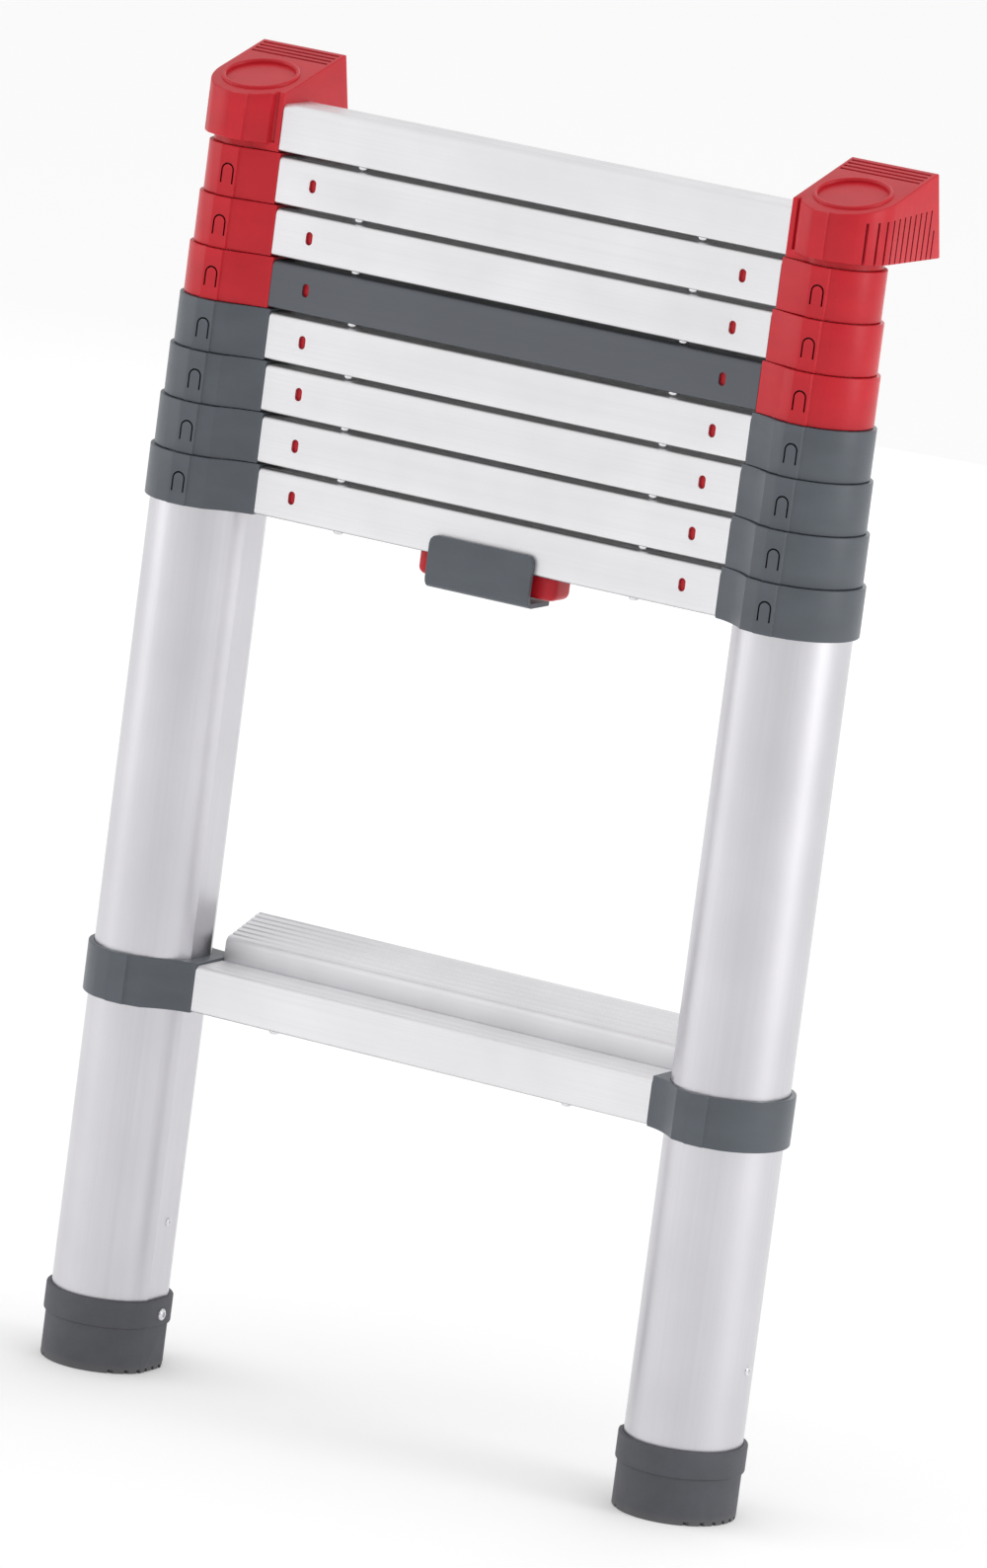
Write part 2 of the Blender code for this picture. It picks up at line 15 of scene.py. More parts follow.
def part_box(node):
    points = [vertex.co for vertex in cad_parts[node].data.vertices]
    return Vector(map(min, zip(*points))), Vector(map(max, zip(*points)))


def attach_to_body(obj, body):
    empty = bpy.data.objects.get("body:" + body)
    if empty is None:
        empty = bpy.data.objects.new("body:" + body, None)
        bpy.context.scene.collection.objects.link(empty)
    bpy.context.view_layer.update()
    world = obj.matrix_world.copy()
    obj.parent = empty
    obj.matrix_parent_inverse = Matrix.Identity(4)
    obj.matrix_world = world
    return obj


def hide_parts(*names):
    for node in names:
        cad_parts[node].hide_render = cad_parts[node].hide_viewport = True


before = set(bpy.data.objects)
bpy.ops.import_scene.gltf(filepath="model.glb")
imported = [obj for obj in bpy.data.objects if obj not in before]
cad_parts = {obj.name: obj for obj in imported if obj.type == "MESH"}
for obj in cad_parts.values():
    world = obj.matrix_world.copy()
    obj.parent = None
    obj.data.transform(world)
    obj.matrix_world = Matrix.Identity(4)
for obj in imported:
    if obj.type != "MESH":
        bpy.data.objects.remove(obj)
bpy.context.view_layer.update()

# ---- stiles ----------------------------------------------------------------------------------
SECTIONS = 8
HALF_WIDTH = 0.0340         # section 8 tube, axis to its round outer side
HALF_DEPTH = 0.0355         # section 8 tube, axis to its front and back
FLAT = 0.0323               # section 8 tube, axis to its flat inner side
TUBE_WALL = 0.0014
NEST_STEP = 0.0020          # one tube is this much smaller than the one outside it
FIT = 0.0003
STILE_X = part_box("stile_tube_8_right")[1].x - HALF_WIDTH
STILE_Y = (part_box("stile_tube_8_right")[0].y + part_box("stile_tube_8_right")[1].y) / 2
HOLE_RADIUS = 0.0039
HOLE_ABOVE_END = 0.0450     # from a tube's lower end up to its lock hole
HOLE_CUT_START = 0.0040     # how far outside the flat wall the cut starts

# ---- collars ---------------------------------------------------------------------------------
COLLAR_GROW = 0.0034        # from a tube's surface to its collar's
EAR_BLEND = 0.5
EAR_BLEND_FRONT = 0.0031
EAR_ARC_START = -115        # degrees
EAR_ARC_END = 150
MID_EAR_ARC_END = 130
MID_EAR_REACH = 0.0155
PANEL_HALF = 0.0056         # raised strip on the front of a collar
PANEL_STEP = 0.0005
PANEL_EDGE = 0.0005
FACET_HALF = 0.0150         # from here outwards the collar is round
SLIT_HALF = 0.0037
SLIT_WIDTH = 0.0010
SLIT_DEPTH = 0.0030
SLIT_TOP = 0.0100           # below the collar's top
SLIT_BOTTOM = 0.0220
COLLAR_EDGE = 0.0006
LAST_RED_COLLAR = 4

# ---- rungs -----------------------------------------------------------------------------------
DARK_RUNG = 4
RUNG_WALL = 0.0016
RUNG_FRONT_EDGE = 0.0035
RUNG_EDGE = 0.0018
LINE_PLACES = (0.0046, 0.0064)      # two fine lines behind the front edge
RIB_FIRST = 0.0092
RIB_PITCH = 0.0022
RIB_COUNT = 9
LINE_HALF = 0.00045
LINE_DEPTH = 0.00070
WINDOW_FROM_END = 0.0233
WINDOW_WIDTH = 0.0044
WINDOW_HEIGHT = 0.0078
SCREW_FROM_END = 0.0545
SCREW_BEHIND_FRONT = 0.0042
SCREW_RADIUS = 0.0031
SCREW_HEIGHT = 0.0018
SCREW_SINK = 0.0002         # how deep a head sits in its surface
SCREW_SHANK = 0.5           # share of the head's radius, as the next one
SCREW_SOCKET = 0.42
SCREW_RIM = 0.25            # share of the head's height where the dome starts
SOCKET_FLOOR = ((0.9, 0.35), (0.25, 0.2))       # shares of the socket's radius and the head's height

# ---- rear tread ------------------------------------------------------------------------------
TREAD_WALL = 0.0020
TREAD_EDGE = 0.0045
TREAD_BACK_EDGE = 0.0070
TREAD_RISE = 0.0113         # from the front edge of its top to the highest line
TREAD_GROOVES = 7
TREAD_GROOVE_FIRST = 0.0060
TREAD_GROOVE_PITCH = 0.0047
TREAD_GROOVE_HALF = 0.0009
TREAD_GROOVE_DEPTH = 0.0018

# ---- end caps --------------------------------------------------------------------------------
USE_ANGLE = math.radians(16.4)      # how far the ladder leans in use
CAP_GROW = 0.0089                   # from the top tube's surface to the cap's
NECK_GROW = 0.0030
CAP_EDGE = 0.0009
CAP_TOP_REAR = 0.0469               # v of the upper edge of the wall face
CAP_ABOVE_RUNG = 0.0032             # from rung 1's underside up to the cap's
CAP_ROOF = 0.0080                   # from the bore's upper end to the cap's top, on the stile axis
CAP_FRONT = (                       # u, and how far behind the round front, from the inner side outwards
    (-0.0200, 0.0), (-0.0116, 0.0), (-0.0081, 0.0006), (-0.0075, -0.0006),
    (0.0018, -0.0006), (0.0024, 0.0006), (0.0070, 0.0), (0.0175, 0.0),
)
CAP_HOLLOW = (                      # u and depth of the hollow beside the rung
    (-0.0236, 0.0), (-0.0228, 0.0012), (-0.0212, 0.0004),
)
CAP_EAR_ARC = (-119, -158)          # degrees, where the cap's neck and the ear meet
CAP_EAR = 0.0005                    # how far the cap's inner corner is in front of rung 1
CAP_SLOT_DEPTH = 0.0020
CAP_SLOT_WIDTH = 0.0014
CAP_SLOT_PITCH = 0.0064
CAP_SLOT_LAST = 0.0445              # v of the rearmost long slot
CAP_SLOTS = 11
CAP_SLOT_TOP = 0.0100               # below the top surface over the stile axis
CAP_SLOT_FRONT_SLOPE = 0.1          # how the slots' tops fall towards the front
CAP_SLOT_BACK_RISE = 0.0030         # how they rise towards the last long slot
CAP_SHORT_SLOT = 0.0500             # v of the short slot
CAP_SHORT_SLOT_TOP = 0.0188
CAP_LINE_FIRST = 0.0425
CAP_LINE_PITCH = 0.0043
CAP_LINES = 4
CAP_LINE_WIDTH = 0.0020
CAP_LINE_DEPTH = 0.0011
CAP_LINE_INSET = 0.0022             # from the cap's inner side
CAP_LINE_END = 0.0262               # u of the outer end
CAP_RING_RADIUS = 0.0214
CAP_RING_BEAD = 0.0014
CAP_RING_HEIGHT = 0.0016
CAP_RING_SINK = 0.0010
CAP_RECESS_DEPTH = 0.0009
CAP_RING_U = 0.0009
CAP_RING_V = -0.0005

# ---- feet ------------------------------------------------------------------------------------
FOOT_GROW = 0.0015
RIM_GROW = 0.0030
RIM_LOW = 0.0275
RIM_EDGE = 0.0008
RIM_LEDGE = 0.0006                  # height of the slope under the rim
SOLE_EDGE = 0.0006
HEEL_START = 0.0105
HEEL_ANGLE = math.radians(20.0)
SOLE_GROOVES = 8
SOLE_GROOVE_FIRST = -0.0280
SOLE_GROOVE_PITCH = 0.0075
SOLE_GROOVE_WIDTH = 0.0025
SOLE_GROOVE_DEPTH = 0.0022
FOOT_SCREW = (0.0016, 0.0343)       # v and height
FOOT_SCREW_RADIUS = 0.0036
RIVET = (0.0015, 0.0893)            # v and height
RIVET_RADIUS = 0.0027
RIVET_HEIGHT = 0.0010

# ---- release ---------------------------------------------------------------------------------
RELEASE_CORNER = 0.0060
RELEASE_UNDER_EDGE = 0.0045
RELEASE_TOP_EDGE = 0.0008
GUARD_EDGE = 0.0004
GUARD_EDGE_ANGLE = 40               # degrees: sharper edges of the guard are softened
WELD_DISTANCE = 0.00001

# ---- resolution ------------------------------------------------------------------------------
ROUND_STEPS = 64
CORNER_STEPS = 6
HALF_ROUND_STEPS = 8
SLIT_STEPS = 12
EAR_STEPS = 10
DOME_STEPS = 5
BEAD_STEPS = 7
CAP_ARC_STEPS = 24
CAP_SIDE_STEPS = 12
CAP_REAR_STEPS = 20
CAP_EAR_STEPS = 4
RELEASE_STEPS = (8, 6, 3)           # corners, lower edge, upper edge
TUBE_SMOOTH = 12                    # degrees: edges sharper than this stay sharp
MOULDED_SMOOTH = 24
RUNG_SMOOTH = 25
FOOT_SMOOTH = 40

# ---- cutters ---------------------------------------------------------------------------------
CUT_MARGIN = 0.0020                 # how far a cutter stands out of what it cuts
CUT_INSIDE = 0.0010                 # how far it runs on behind a wall
CUT_REACH = 0.0100                  # how far it stands out where there is room

# ---- looks (noise in grains per metre along X, Y and Z, depths and painted gap shade reaches in metres) ---
RED = (0.530, 0.014, 0.024)
GREY = (0.098, 0.110, 0.126)
SILVER = (0.625, 0.615, 0.642)
PALE_SILVER = (0.800, 0.795, 0.812)
ANTHRACITE = (0.105, 0.113, 0.128)
RUBBER_GREY = (0.074, 0.076, 0.088)
STEEL = (0.80, 0.80, 0.82)
DUST = (0.20, 0.19, 0.175)
DUST_HEIGHT = 0.006
# painted shade: the near black that gaps and crevices are darkened towards
PAINTED_SHADE_COLOUR = (0.004, 0.004, 0.005)
UNDERSIDE_SHADE = 0.22               # painted shade: the undersides of extrusions are drawn this much darker, to darken the gaps between rungs
DIE_LINES_UPRIGHT = (900.0, 900.0, 5.0)
DIE_LINES_LENGTHWISE = (5.0, 900.0, 900.0)
METAL_BUMP = 0.000004               # depth of the die lines, and of the grain
METAL_CLOUDS = (18.0, 18.0, 18.0)
METAL_GRAIN = (2600.0, 2600.0, 2600.0)
METAL_SHADE_REACH = 0.007
MOULD_GRAIN = (1900.0, 1900.0, 1900.0)
MOULD_FLOW = (30.0, 30.0, 70.0)
MOULD_FLOW_DEPTH = 0.00004
MOULD_SHADE_REACH = 0.004
PLASTIC_SPECULAR = 0.28
RUBBER_GRAIN = (1300.0, 1300.0, 1300.0)
RUBBER_GRAIN_DEPTH = 0.00003
RUBBER_PATCHES = (55.0, 55.0, 55.0)
STEEL_MARKS = (700.0, 700.0, 700.0)
STEEL_MARK_DEPTH = 0.00002


# ---- materials -------------------------------------------------------------------------------
class Painter:
    """Builds one node material step by step."""

    def __init__(self, name, metallic):
        self.material = bpy.data.materials.new(name)
        self.material.use_nodes = True
        self.tree = self.material.node_tree
        self.shader = self.tree.nodes["Principled BSDF"]
        self.shader.inputs["Metallic"].default_value = metallic
        self.place = self.tree.nodes.new("ShaderNodeTexCoord").outputs["Object"]

    def link(self, source, target):
        self.tree.links.new(source, target)

    def noise(self, stretch, detail=3.0):
        """Noise whose grains per metre are given along each axis."""
        mapping = self.tree.nodes.new("ShaderNodeMapping")
        mapping.inputs["Scale"].default_value = stretch
        self.link(self.place, mapping.inputs["Vector"])
        texture = self.tree.nodes.new("ShaderNodeTexNoise")
        texture.inputs["Scale"].default_value = 1.0
        texture.inputs["Detail"].default_value = detail
        self.link(mapping.outputs["Vector"], texture.inputs["Vector"])
        return texture.outputs["Fac"]

    def spread(self, source, low, high, source_low=0.3, source_high=0.7):
        """Map a value from one range to another."""
        step = self.tree.nodes.new("ShaderNodeMapRange")
        step.inputs["From Min"].default_value = source_low
        step.inputs["From Max"].default_value = source_high
        step.inputs["To Min"].default_value = low
        step.inputs["To Max"].default_value = high
        self.link(source, step.inputs["Value"])
        return step.outputs["Result"]

    def blend(self, share, first, second):
        """Mix two colours; first may be a colour or a socket."""
        step = self.tree.nodes.new("ShaderNodeMix")
        step.data_type = "RGBA"
        self.link(share, step.inputs["Factor"])
        if isinstance(first, tuple):
            step.inputs[6].default_value = (*first, 1.0)
        else:
            self.link(first, step.inputs[6])
        step.inputs[7].default_value = (*second, 1.0)
        return step.outputs[2]

    def painted_gap_shade(self, colour, reach, most):
        """Painted shade: darken a colour towards near black where it lies deep in a gap narrower than the
        reach.
        """
        open_sky = self.tree.nodes.new("ShaderNodeAmbientOcclusion")
        open_sky.only_local = True
        open_sky.inputs["Distance"].default_value = reach
        share = self.spread(open_sky.outputs["AO"], most, 0.0, 0.10, 0.62)
        return self.blend(share, colour, PAINTED_SHADE_COLOUR)

    def facing_down(self):
        """Share of one on faces that look straight down, and of nothing on all others."""
        geometry = self.tree.nodes.new("ShaderNodeNewGeometry")
        split = self.tree.nodes.new("ShaderNodeSeparateXYZ")
        self.link(geometry.outputs["Normal"], split.inputs["Vector"])
        return self.spread(split.outputs["Z"], 1.0, 0.0, -0.95, -0.60)

    def sharp_edge_share(self, start, end, most):
        """Share of lightening, from nothing on flat surfaces to the most on sharp outer edges."""
        geometry = self.tree.nodes.new("ShaderNodeNewGeometry")
        return self.spread(geometry.outputs["Pointiness"], 0.0, most, start, end)

    def bumps(self, heights):
        """Stack bumps, each a pair of a height and its depth in metres."""
        normal = None
        for height, depth in heights:
            step = self.tree.nodes.new("ShaderNodeBump")
            step.inputs["Strength"].default_value = 1.0
            step.inputs["Distance"].default_value = depth
            self.link(height, step.inputs["Height"])
            if normal:
                self.link(normal, step.inputs["Normal"])
            normal = step.outputs["Normal"]
        self.link(normal, self.shader.inputs["Normal"])

    def finish(self, colour, roughness):
        self.link(colour, self.shader.inputs["Base Color"])
        self.link(roughness, self.shader.inputs["Roughness"])
        return self.material


def shade(colour, factor):
    return tuple(channel * factor for channel in colour)


def extruded_metal(name, colour, roughness, metallic, stretch):
    """Anodised extrusion: fine die lines along one axis over a soft cloudiness."""
    paint = Painter(name, metallic)
    lines = paint.noise(stretch, 4.0)
    clouds = paint.noise(METAL_CLOUDS, 2.0)
    grain = paint.noise(METAL_GRAIN, 1.0)
    tone = paint.blend(paint.spread(clouds, 0.0, 1.0), shade(colour, 0.95), shade(colour, 1.04))
    tone = paint.blend(paint.spread(lines, 0.0, 0.4, 0.35, 0.75), tone, shade(colour, 0.93))
    # sharp outer edges drawn lighter
    tone = paint.blend(paint.sharp_edge_share(0.54, 0.66, 0.35), tone, shade(colour, 1.15))
    # painted shade: faces that look down are drawn darker
    tone = paint.blend(paint.facing_down(), tone, shade(colour, UNDERSIDE_SHADE))
    # painted shade: near black deep in gaps and crevices
    tone = paint.painted_gap_shade(tone, METAL_SHADE_REACH, 0.92)
    paint.bumps(((lines, METAL_BUMP), (grain, METAL_BUMP)))
    return paint.finish(tone, paint.spread(lines, roughness - 0.03, roughness + 0.05))


def moulded_plastic(name, colour, roughness, grain_depth):
    """Moulded plastic: fine spark-eroded grain, slight flow marks, and sharp outer edges drawn lighter."""
    paint = Painter(name, 0.0)
    grain = paint.noise(MOULD_GRAIN, 2.0)
    flow = paint.noise(MOULD_FLOW, 3.0)
    tone = paint.blend(paint.spread(flow, 0.0, 1.0), shade(colour, 0.93), shade(colour, 1.06))
    # sharp outer edges drawn lighter
    tone = paint.blend(paint.sharp_edge_share(0.53, 0.62, 0.30), tone, shade(colour, 1.5))
    # painted shade: near black deep in gaps and crevices
    tone = paint.painted_gap_shade(tone, MOULD_SHADE_REACH, 0.95)
    paint.shader.inputs["Specular IOR Level"].default_value = PLASTIC_SPECULAR
    paint.bumps(((flow, MOULD_FLOW_DEPTH), (grain, grain_depth)))
    return paint.finish(tone, paint.spread(grain, roughness - 0.05, roughness + 0.07))


def rubber(name, colour):
    """Rubber: matt, with a coarse skin and a little dust close to the ground."""
    paint = Painter(name, 0.0)
    grain = paint.noise(RUBBER_GRAIN, 3.0)
    patches = paint.noise(RUBBER_PATCHES, 3.0)
    tone = paint.blend(paint.spread(patches, 0.0, 1.0), shade(colour, 0.92), shade(colour, 1.10))
    split = paint.tree.nodes.new("ShaderNodeSeparateXYZ")
    paint.link(paint.place, split.inputs["Vector"])
    dust = paint.spread(split.outputs["Z"], 0.30, 0.0, 0.0, DUST_HEIGHT)
    tone = paint.blend(dust, tone, DUST)
    # painted shade: near black deep in gaps and crevices
    tone = paint.painted_gap_shade(tone, MOULD_SHADE_REACH, 0.95)
    paint.bumps(((grain, RUBBER_GRAIN_DEPTH),))
    return paint.finish(tone, paint.spread(grain, 0.56, 0.70))


def plated_steel(name, colour):
    """Zinc-plated steel for screws and rivets."""
    paint = Painter(name, 1.0)
    marks = paint.noise(STEEL_MARKS, 3.0)
    tone = paint.blend(paint.spread(marks, 0.0, 1.0), shade(colour, 0.88), shade(colour, 1.08))
    paint.bumps(((marks, STEEL_MARK_DEPTH),))
    return paint.finish(tone, paint.spread(marks, 0.20, 0.34))


finishes = {
    "tube": extruded_metal("aluminium_upright", SILVER, 0.34, 1.0, DIE_LINES_UPRIGHT),
    "rung": extruded_metal("aluminium_lengthwise", PALE_SILVER, 0.40, 0.9, DIE_LINES_LENGTHWISE),
    "dark_rung": extruded_metal("aluminium_anthracite", ANTHRACITE, 0.40, 0.35, DIE_LINES_LENGTHWISE),
    "red": moulded_plastic("plastic_red", RED, 0.34, 0.000012),
    "grey": moulded_plastic("plastic_grey", GREY, 0.36, 0.000014),
    "rubber": rubber("rubber_grey", RUBBER_GREY),
    "steel": plated_steel("steel_plated", STEEL),
}


# ---- solids ----------------------------------------------------------------------------------
def skin(name, rings, finish, closed=False, smooth_angle=30):
    """A solid skinned over rings of equal length; closed joins the last ring to the first."""
    mesh_data = bmesh.new()
    loops = [[mesh_data.verts.new(point) for point in points] for points in rings]
    count = len(loops[0])
    pairs = list(zip(loops, loops[1:]))
    if closed:
        pairs.append((loops[-1], loops[0]))
    for lower, upper in pairs:
        for here in range(count):
            there = (here + 1) % count
            mesh_data.faces.new((lower[here], lower[there], upper[there], upper[here]))
    if not closed:
        mesh_data.faces.new(loops[0])
        mesh_data.faces.new(loops[-1])
    bmesh.ops.recalc_face_normals(mesh_data, faces=mesh_data.faces)
    mesh = bpy.data.meshes.new(name)
    mesh_data.to_mesh(mesh)
    mesh_data.free()
    piece = bpy.data.objects.new(name, mesh)
    bpy.context.scene.collection.objects.link(piece)
    mesh.materials.append(finishes[finish])
    mesh.shade_smooth()
    mesh.set_sharp_from_angle(angle=math.radians(smooth_angle))
    return piece


def cut(piece, cutters, smooth_angle=30):
    """Cut solids out of a piece for good, and remove them."""
    for cutter in cutters:
        step = piece.modifiers.new(cutter.name, "BOOLEAN")
        step.operation = "DIFFERENCE"
        step.solver = "EXACT"
        step.object = cutter
    bpy.context.view_layer.update()
    seen = piece.evaluated_get(bpy.context.evaluated_depsgraph_get())
    mesh = bpy.data.meshes.new_from_object(seen)
    piece.modifiers.clear()
    piece.data = mesh
    mesh.shade_smooth()
    mesh.set_sharp_from_angle(angle=math.radians(smooth_angle))
    for cutter in cutters:
        bpy.data.objects.remove(cutter)


def attach(piece, body, *nodes):
    """Let a piece ride on a body, and stand for CAD nodes if any are given."""
    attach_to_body(piece, body)
    if nodes:
        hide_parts(*nodes)
    return piece


def side_name(side):
    return "right" if side > 0 else "left"


def ring(side, outline, z):
    return [Vector((side * (STILE_X + u), STILE_Y + v, z)) for u, v in outline]


def box_cutter(name, u, v, z, side):
    outline = ((u[0], v[0]), (u[1], v[0]), (u[1], v[1]), (u[0], v[1]))
    return skin(name, [ring(side, outline, z[0]), ring(side, outline, z[1])], "grey")


def resample(outline, count):
    """Points spaced evenly along a closed outline, starting at its first point."""
    points = [Vector(point) for point in outline]
    ends = points[1:] + points[:1]
    lengths = [(end - start).length for start, end in zip(points, ends)]
    pace = sum(lengths) / count
    found, index, passed = [], 0, 0.0
    for step in range(count):
        place = step * pace
        while passed + lengths[index] < place - 1e-12 and index < len(points) - 1:
            passed += lengths[index]
            index += 1
        share = (place - passed) / lengths[index]
        found.append(tuple(points[index].lerp(ends[index], share)))
    return found


def rounding(radius, steps=4):
    """Pairs of inset and drop that round an outer edge."""
    pairs = []
    for step in range(steps + 1):
        angle = math.pi / 2 * step / steps
        pairs.append((radius * (1 - math.cos(angle)), radius * (1 - math.sin(angle))))
    return pairs


def corner(centre, radius, start, steps=CORNER_STEPS):
    """A quarter turn round a centre, from a start angle in degrees."""
    points = []
    for step in range(steps + 1):
        angle = math.radians(start + 90 * step / steps)
        points.append((centre[0] + radius * math.cos(angle), centre[1] + radius * math.sin(angle)))
    return points


def straight(start, end, steps):
    """Points along a straight line, without its start."""
    return [tuple(start.lerp(end, step / steps)) for step in range(1, steps + 1)]


def size_inset(number):
    """How much smaller a section's tube is than section 8's."""
    return (SECTIONS - min(number, SECTIONS)) * NEST_STEP


# ---- stile outlines --------------------------------------------------------------------------
def arc(grow, start, end, steps):
    """Points on the stile's round outline between two angles in degrees."""
    points = []
    for step in range(steps + 1):
        angle = math.radians(start + (end - start) * step / steps)
        points.append(((HALF_WIDTH + grow) * math.cos(angle), (HALF_DEPTH + grow) * math.sin(angle)))
    return points


def tube_outline(grow):
    turn = math.degrees(math.acos(-(FLAT + grow) / (HALF_WIDTH + grow)))
    return arc(grow, -turn, turn, ROUND_STEPS)


def seen_through(outline, grow):
    """The points where rays from the stile axis through an outline cross the stile's surface."""
    points = []
    for u, v in outline:
        share = 1 / math.hypot(u / (HALF_WIDTH + grow), v / (HALF_DEPTH + grow))
        if u < 0:
            share = min(share, -(FLAT + grow) / u)
        points.append((u * share, v * share))
    edges = tube_outline(grow)
    for edge in (edges[0], edges[-1]):
        nearest = min(range(len(points)), key=lambda index: math.dist(points[index], edge))
        points[nearest] = edge
    return points


def front_of(grow, u):
    """How far forward the round outline is at a distance from the stile axis."""
    return -(HALF_DEPTH + grow) * math.sqrt(1 - (u / (HALF_WIDTH + grow)) ** 2)


def collar_outline(grow, ear_u, ear_back, arc_end):
    """A collar: a raised strip in front, facets beside it, a round side, and an ear to the rung."""
    front = front_of(grow, 0.0)
    start = Vector(arc(grow, EAR_ARC_START, 0, 1)[0])
    edge = PANEL_HALF + PANEL_STEP
    facet = min(FACET_HALF, -start.x)
    points = [tuple(start)]
    points.append((-edge, front_of(grow, edge) + PANEL_EDGE))
    points.append((-PANEL_HALF, front))
    points.append((PANEL_HALF, front))
    points.append((edge, front_of(grow, edge) + PANEL_EDGE))
    turn = -math.degrees(math.acos(facet / (HALF_WIDTH + grow)))
    points.extend(arc(grow, turn, arc_end, ROUND_STEPS))
    points.append((-FLAT - grow, ear_back))
    points.append((ear_u, ear_back))
    tip = Vector((ear_u, rung_front))
    bend = Vector((ear_u + EAR_BLEND * (start.x - ear_u), rung_front - EAR_BLEND_FRONT))
    for step in range(EAR_STEPS):
        share = step / EAR_STEPS
        points.append(tuple(tip.lerp(bend, share).lerp(bend.lerp(start, share), share)))
    return points


# ---- rungs -----------------------------------------------------------------------------------
rung_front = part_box("rung_8")[0].y - STILE_Y
rung_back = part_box("rung_8")[1].y - STILE_Y


def rung_outline(low, high):
    """A rung's outline in (v, z), with fine lines and ribs along its top."""
    points = corner((rung_front + RUNG_EDGE, low + RUNG_EDGE), RUNG_EDGE, 180)
    points += corner((rung_back - RUNG_EDGE, low + RUNG_EDGE), RUNG_EDGE, 270)
    points += corner((rung_back - RUNG_EDGE, high - RUNG_EDGE), RUNG_EDGE, 0)
    places = [RIB_FIRST + index * RIB_PITCH for index in reversed(range(RIB_COUNT))]
    for place in places + list(reversed(LINE_PLACES)):
        v = rung_front + place
        points += [(v + LINE_HALF, high), (v, high - LINE_DEPTH), (v - LINE_HALF, high)]
    points += corner((rung_front + RUNG_FRONT_EDGE, high - RUNG_FRONT_EDGE), RUNG_FRONT_EDGE, 90)
    return points


def hollow_profile(name, outer, inner, half, finish):
    """An extrusion along X, open at both ends, from outlines in (v, z)."""
    inner = resample(inner, len(outer))
    rings = []
    for outline, x in ((outer, -half), (outer, half), (inner, half), (inner, -half)):
        rings.append([Vector((x, STILE_Y + v, z)) for v, z in outline])
    return skin(name, rings, finish, closed=True, smooth_angle=RUNG_SMOOTH)


def window_cutter(name, centre_x, centre_z):
    """An upright slot through a rung's front wall."""
    radius = WINDOW_WIDTH / 2
    arch = WINDOW_HEIGHT / 2 - radius
    outline = []
    for end, first in ((1, 0), (-1, 180)):
        for step in range(HALF_ROUND_STEPS + 1):
            angle = math.radians(first + 180 * step / HALF_ROUND_STEPS)
            outline.append((radius * math.cos(angle), end * arch + radius * math.sin(angle)))
    rings = []
    for v in (rung_front - CUT_MARGIN, rung_front + RUNG_WALL + CUT_INSIDE):
        rings.append([Vector((centre_x + x, STILE_Y + v, centre_z + z)) for x, z in outline])
    return skin(name, rings, "grey")


def make_rung(number):
    low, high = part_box(f"rung_{number}")
    half = high.x
    inner = [
        (rung_front + RUNG_WALL, low.z + RUNG_WALL),
        (rung_back - RUNG_WALL, low.z + RUNG_WALL),
        (rung_back - RUNG_WALL, high.z - RUNG_WALL),
        (rung_front + RUNG_WALL, high.z - RUNG_WALL),
    ]
    finish = "dark_rung" if number == DARK_RUNG else "rung"
    outer = rung_outline(low.z, high.z)
    rung = hollow_profile(f"rung_{number}_body", outer, inner, half, finish)
    if 1 < number <= SECTIONS:
        middle = (low.z + high.z) / 2
        places = (-(half - WINDOW_FROM_END), half - WINDOW_FROM_END)
        windows = [window_cutter(f"cut_{index}", x, middle) for index, x in enumerate(places)]
        cut(rung, windows, RUNG_SMOOTH)
    body = f"section_{min(number, SECTIONS)}"
    attach(rung, body, f"rung_{number}")
    for side in (-1, 1):
        place = Vector((side * (half - SCREW_FROM_END), low.y + SCREW_BEHIND_FRONT, low.z))
        name = f"rung_screw_{number}_{side_name(side)}"
        attach(make_screw(name, place, Vector((0, 0, -1)), SCREW_RADIUS, SCREW_HEIGHT), body)


# ---- fasteners -------------------------------------------------------------------------------
def lathe(name, place, axis, profile, finish, sides=32, closed=False):
    """A turned piece from (radius, height) pairs, standing on a place along an axis."""
    turn = axis.to_track_quat("Z", "Y").to_matrix().to_4x4()
    rings = []
    for radius, height in profile:
        points = []
        for index in range(sides):
            angle = math.tau * index / sides
            points.append(Vector((radius * math.cos(angle), radius * math.sin(angle), height)))
        rings.append([place + turn @ point for point in points])
    return skin(name, rings, finish, closed)


def make_screw(name, place, axis, radius, height):
    """A domed head with a socket in it, and a short stretch of shank behind it."""
    shank = radius * SCREW_SHANK
    socket = radius * SCREW_SOCKET
    profile = [(shank, -height), (shank, -SCREW_SINK), (radius, -SCREW_SINK), (radius, height * SCREW_RIM)]
    for step in range(1, DOME_STEPS):
        angle = math.pi / 2 * step / DOME_STEPS
        rise = SCREW_RIM + (1 - SCREW_RIM) * math.sin(angle)
        profile.append((socket + (radius - socket) * math.cos(angle), height * rise))
    profile.append((socket, height))
    for radius_share, height_share in SOCKET_FLOOR:
        profile.append((socket * radius_share, height * height_share))
    return lathe(name, place, axis, profile, "steel")


